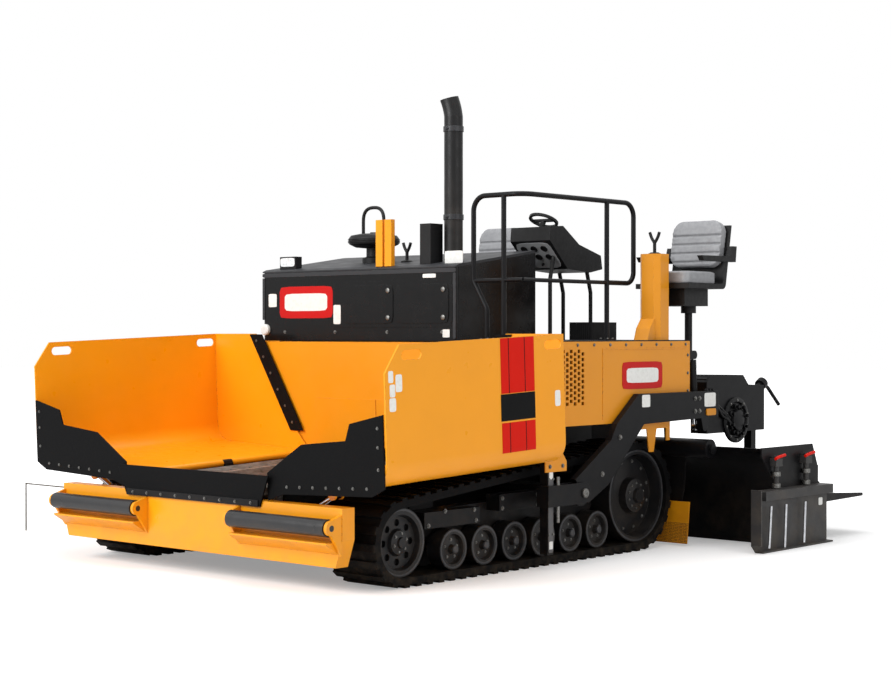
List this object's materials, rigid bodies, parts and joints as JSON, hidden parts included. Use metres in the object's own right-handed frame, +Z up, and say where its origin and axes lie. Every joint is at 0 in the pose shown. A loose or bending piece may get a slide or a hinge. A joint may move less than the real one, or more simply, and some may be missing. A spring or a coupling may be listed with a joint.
{
  "type": "tracked asphalt paver",
  "caption": "Tracked asphalt paver with a folding front hopper, operator's deck, screw augers and a lifting rear screed with sliding extensions.",
  "frame": {"origin": "on the ground under the middle of the machine's overall box", "axes": "+Z up, the hopper faces -Y, the screed is at +Y, +X is the machine's left side"},
  "size_m": [4.67, 5.587, 3.4925],
  "materials": {
    "paint_yellow": "gloss orange-yellow paint",
    "paint_dark": "satin near-black paint",
    "hood_grey": "matte light grey paint",
    "steel": "worn bare steel",
    "chrome": "polished rod",
    "cast_iron": "cast engine block",
    "rubber": "matte black rubber",
    "black_plastic": "moulded black plastic",
    "seat_vinyl": "grey seat vinyl"
  },
  "bodies": {
    "root": {"apron_flap": "rubber", "bulkhead": "paint_yellow", "deck": "paint_dark", "engine_block": "cast_iron", "exhaust_stack": "steel", "feeder_bed": "steel", "feeder_slats": "steel", "handrail": "paint_dark", "hood": "paint_dark", "hood_fittings": "paint_dark", "sighting_posts": "paint_yellow", "hood_top": "hood_grey", "main_frame": "paint_dark", "precleaner": "black_plastic", "push_beam": "paint_yellow", "steering_guide": "steel", "side_tank_left": "paint_yellow", "side_tank_right": "paint_yellow", "console": "black_plastic", "deck_column": "paint_yellow", "deck_box": "paint_dark", "seat_posts": "paint_dark", "track_belt_left": "rubber", "track_belt_right": "rubber", "track_wheels_left": "paint_dark", "track_wheels_right": "paint_dark", "track_frame_left": "paint_dark", "track_frame_right": "paint_dark", "deflectors": "paint_yellow", "tow_guides": "paint_dark", "auger_frame": "paint_dark", "lift_brackets": "paint_dark", "seat_left": "black_plastic", "seat_pads_left": "seat_vinyl"},
    "wing_left": {"wing_left": "paint_yellow", "wing_rubber_left": "rubber"},
    "push_roller_left": {"push_roller_left": "paint_dark"},
    "auger_left": {"auger_left": "steel"},
    "extension_left": {"extension_left": "paint_dark", "end_gate_left": "paint_dark"},
    "wing_barrel_left": {"wing_barrel_left": "paint_dark"},
    "wing_rod_left": {"wing_rod_left": "chrome"},
    "lift_barrel_left": {"lift_barrel_left": "paint_dark"},
    "lift_rod_left": {"lift_rod_left": "chrome"},
    "wing_right": {"wing_right": "paint_yellow", "wing_rubber_right": "rubber"},
    "push_roller_right": {"push_roller_right": "paint_dark"},
    "auger_right": {"auger_right": "steel"},
    "extension_right": {"extension_right": "paint_dark", "end_gate_right": "paint_dark"},
    "wing_barrel_right": {"wing_barrel_right": "paint_dark"},
    "wing_rod_right": {"wing_rod_right": "chrome"},
    "lift_barrel_right": {"lift_barrel_right": "paint_dark"},
    "lift_rod_right": {"lift_rod_right": "chrome"},
    "screed": {"tow_arms": "paint_dark", "screed_main": "paint_dark", "screed_cheeks": "paint_dark"},
    "seat_right": {"seat_right": "black_plastic", "seat_pads_right": "seat_vinyl"}
  },
  "joints": [
    {"name": "wing_fold_left", "type": "hinge", "parent": "root", "child": "wing_left", "pos_m": [0.7, -2.6165, 0.66], "axis": [0, -0.9992, -0.0393], "range_deg": [0, 55]},
    {"name": "push_roller_spin_left", "type": "hinge", "parent": "root", "child": "push_roller_left", "pos_m": [0.965, -2.7365, 0.44], "axis": [1, 0, 0], "continuous": true},
    {"name": "auger_spin_left", "type": "hinge", "parent": "root", "child": "auger_left", "pos_m": [0.55, 1.2935, 0.33], "axis": [1, 0, 0], "continuous": true},
    {"name": "extension_slide_left", "type": "slide", "parent": "screed", "child": "extension_left", "axis": [1, 0, 0], "range_m": [-0.6, 0.25]},
    {"name": "wing_barrel_swing_left", "type": "hinge", "parent": "root", "child": "wing_barrel_left", "pos_m": [0.79, -2.48021, 0.37513], "axis": [0, -0.9992, -0.0393], "range_deg": [0, 42]},
    {"name": "wing_rod_slide_left", "type": "slide", "parent": "wing_barrel_left", "child": "wing_rod_left", "axis": [0.8786, -0.0187, 0.4771], "range_m": [0, 0.24]},
    {"name": "lift_barrel_swing_left", "type": "hinge", "parent": "root", "child": "lift_barrel_left", "pos_m": [1.56, 1.1635, 1.5], "axis": [1, 0, 0], "range_deg": [-4.5, 0]},
    {"name": "lift_rod_slide_left", "type": "slide", "parent": "lift_barrel_left", "child": "lift_rod_left", "axis": [0, 0.07, -0.9975], "range_m": [-0.142, 0]},
    {"name": "wing_fold_right", "type": "hinge", "parent": "root", "child": "wing_right", "pos_m": [-0.7, -2.6165, 0.66], "axis": [0, 0.9992, 0.0393], "range_deg": [0, 55]},
    {"name": "push_roller_spin_right", "type": "hinge", "parent": "root", "child": "push_roller_right", "pos_m": [-0.965, -2.7365, 0.44], "axis": [1, 0, 0], "continuous": true},
    {"name": "auger_spin_right", "type": "hinge", "parent": "root", "child": "auger_right", "pos_m": [-0.55, 1.2935, 0.33], "axis": [1, 0, 0], "continuous": true},
    {"name": "extension_slide_right", "type": "slide", "parent": "screed", "child": "extension_right", "axis": [-1, 0, 0], "range_m": [-0.6, 0.25]},
    {"name": "wing_barrel_swing_right", "type": "hinge", "parent": "root", "child": "wing_barrel_right", "pos_m": [-0.79, -2.48021, 0.37513], "axis": [0, 0.9992, 0.0393], "range_deg": [0, 42]},
    {"name": "wing_rod_slide_right", "type": "slide", "parent": "wing_barrel_right", "child": "wing_rod_right", "axis": [-0.8786, -0.0187, 0.4771], "range_m": [0, 0.24]},
    {"name": "lift_barrel_swing_right", "type": "hinge", "parent": "root", "child": "lift_barrel_right", "pos_m": [-1.56, 1.1635, 1.5], "axis": [1, 0, 0], "range_deg": [-4.5, 0]},
    {"name": "lift_rod_slide_right", "type": "slide", "parent": "lift_barrel_right", "child": "lift_rod_right", "axis": [0, 0.07, -0.9975], "range_m": [-0.142, 0]},
    {"name": "screed_lift", "type": "hinge", "parent": "root", "child": "screed", "pos_m": [0, -0.4065, 0.52], "axis": [1, 0, 0], "range_deg": [0, 5]},
    {"name": "seat_swivel_right", "type": "hinge", "parent": "root", "child": "seat_right", "pos_m": [-0.33, 0.8435, 1.83], "axis": [0, 0, 1], "range_deg": [-90, 90]}
  ],
  "couplings": [
    {"joint": "wing_barrel_swing_left", "follows": "wing_fold_left", "ratio": 0.758},
    {"joint": "wing_rod_slide_left", "follows": "wing_fold_left", "m_per_rad": 0.24908},
    {"joint": "lift_barrel_swing_left", "follows": "screed_lift", "ratio": -0.852},
    {"joint": "lift_rod_slide_left", "follows": "screed_lift", "m_per_rad": -1.6066},
    {"joint": "wing_barrel_swing_right", "follows": "wing_fold_right", "ratio": 0.758},
    {"joint": "wing_rod_slide_right", "follows": "wing_fold_right", "m_per_rad": 0.24908},
    {"joint": "lift_barrel_swing_right", "follows": "screed_lift", "ratio": -0.852},
    {"joint": "lift_rod_slide_right", "follows": "screed_lift", "m_per_rad": -1.6066}
  ]
}
